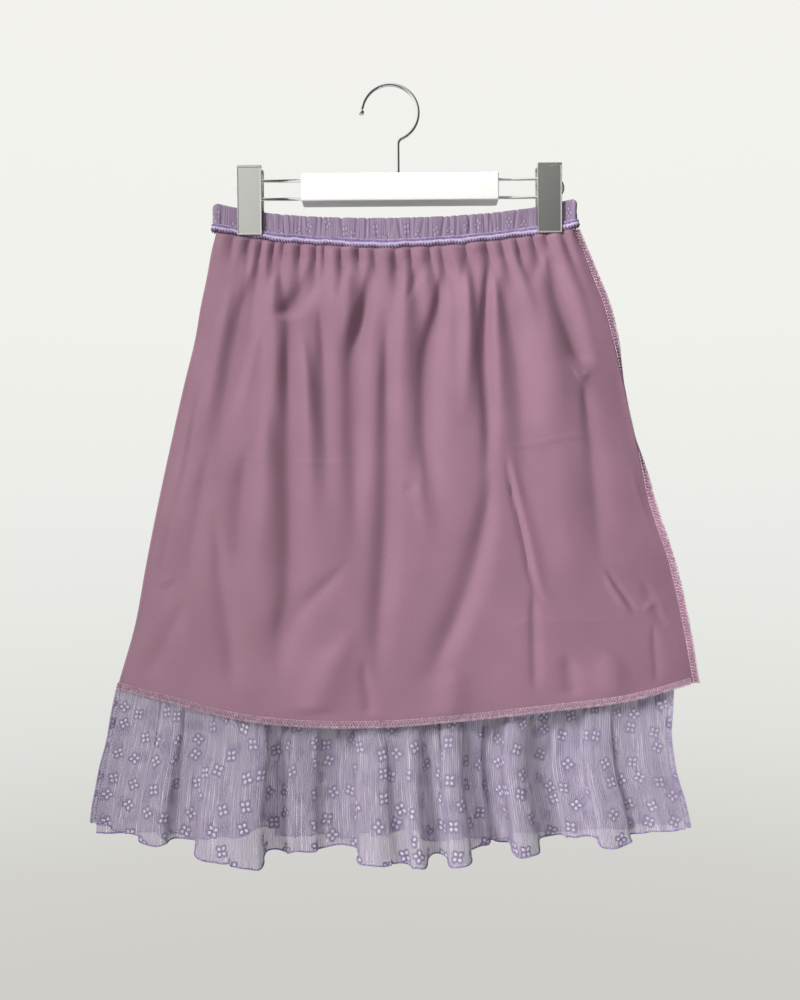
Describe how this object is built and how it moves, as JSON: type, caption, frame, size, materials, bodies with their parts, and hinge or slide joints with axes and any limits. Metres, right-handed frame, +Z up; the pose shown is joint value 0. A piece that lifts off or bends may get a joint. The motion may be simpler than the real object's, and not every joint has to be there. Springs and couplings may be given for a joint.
{
  "type": "ruffle skirt on a clip hanger",
  "caption": "Gathered midi skirt with an elastic waistband and a deep ruffle, turned inside out to its satin lining and held by its waistband on a clip hanger.",
  "frame": {"origin": "the inner top of the hanger's hook, where a rail or wall hook carries it", "axes": "+Z up along the hanging skirt, -Y to the front, +X to the right as seen from the front"},
  "size_m": [0.5688, 0.0863, 0.716],
  "materials": {
    "satin": "mauve polyester satin, soft sheen, wrong side of the skirt outwards",
    "sheer": "lilac crinkled sheer cloth with fine ribs and small woven flowers",
    "overlock": "purple overlock and rolled hem thread",
    "chrome_wire": "bright chromed steel wire",
    "clip_steel": "nickel plated pressed steel",
    "lacquer": "smooth white satin lacquer"
  },
  "bodies": {
    "root": {"waistband": "sheer", "waist_seam": "overlock", "lining_front": "satin", "lining_back": "satin", "lining_seam_left": "satin", "lining_seam_right": "satin", "outer_front": "sheer", "outer_back": "sheer", "ruffle_front": "sheer", "ruffle_back": "sheer", "ruffle_hem_front": "overlock", "ruffle_hem_back": "overlock", "ruffle_seam_left": "overlock", "ruffle_seam_right": "overlock", "hanger_hook": "chrome_wire", "hanger_rail_left": "chrome_wire", "hanger_rail_right": "chrome_wire", "hanger_block": "lacquer", "clip_left_front": "clip_steel", "clip_left_back": "clip_steel", "clip_left_hinge": "clip_steel", "clip_right_front": "clip_steel", "clip_right_back": "clip_steel", "clip_right_hinge": "clip_steel"}
  },
  "joints": []
}
